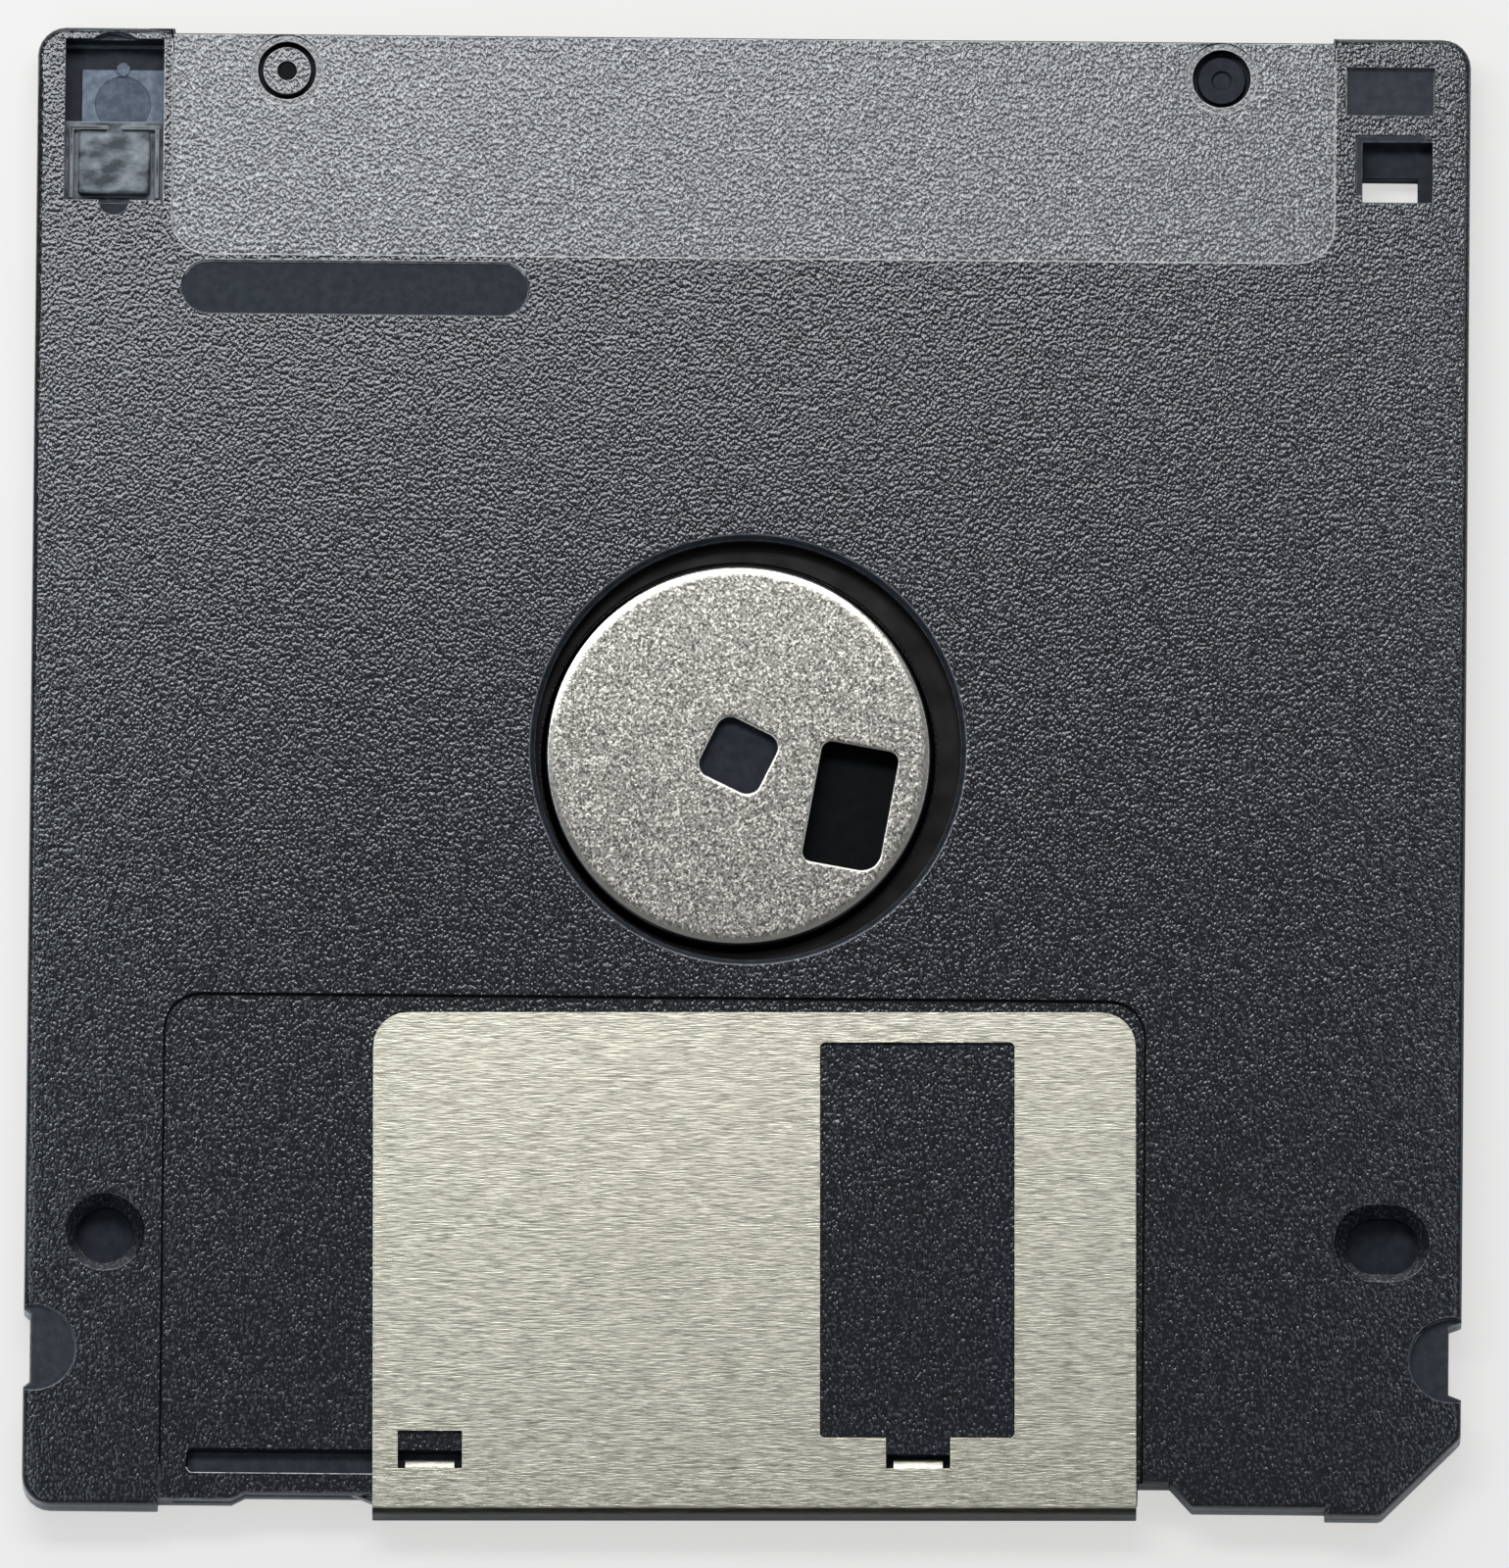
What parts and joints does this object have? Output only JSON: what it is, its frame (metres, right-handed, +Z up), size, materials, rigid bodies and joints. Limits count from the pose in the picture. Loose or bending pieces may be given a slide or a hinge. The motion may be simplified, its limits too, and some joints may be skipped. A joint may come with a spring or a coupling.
{
  "type": "3.5 inch floppy disk",
  "caption": "Thin square plastic cartridge with a spring-closed sheet metal shutter, a steel hub that spins its magnetic disk, and a write-protect slider.",
  "frame": {"origin": "on the surface it lies on, under the middle of the closed cartridge's bounding box", "axes": "+Z up out of the hub side, +Y along the length and away from the shutter, +X across it towards the chamfered corner"},
  "size_m": [0.09, 0.0944, 0.0033],
  "materials": {
    "case_back": "moulded with a fine spark-eroded grain",
    "case_front": "moulded with a fine spark-eroded grain",
    "shutter_sheet": "brushed across its width",
    "spring_wire": "drawn wire",
    "slider": "smooth, rubbed on its edges",
    "hub_steel": "matte, fine grained",
    "adhesive": "thin film",
    "disk_film": "polished coated film",
    "liner_back": "non-woven",
    "liner_front": "non-woven",
    "lifter_film": "thin leaf"
  },
  "bodies": {
    "case": {"back_shell": "case_back", "front_shell": "case_front", "back_liner": "liner_back", "front_liner": "liner_front", "liner_lifter": "lifter_film", "shutter_spring": "spring_wire"},
    "shutter": {"shutter": "shutter_sheet"},
    "write_protect_slider": {"write_protect_tab": "slider"},
    "disk": {"hub": "hub_steel", "hub_adhesive_ring": "adhesive", "magnetic_disk": "disk_film"}
  },
  "joints": [
    {"name": "shutter_slide", "type": "slide", "parent": "case", "child": "shutter", "axis": [-1, 0, 0], "range_m": [0, 0.0125], "stiffness_N_per_m": 30, "springref_m": -0.008, "deforming": ["shutter_spring"]},
    {"name": "write_protect_slide", "type": "slide", "parent": "case", "child": "write_protect_slider", "axis": [0, 1, 0], "range_m": [0, 0.0042]},
    {"name": "disk_spin", "type": "hinge", "parent": "case", "child": "disk", "pos_m": [-0.0006, 0.00122, 0.0015], "axis": [0, 0, 1], "continuous": true}
  ]
}
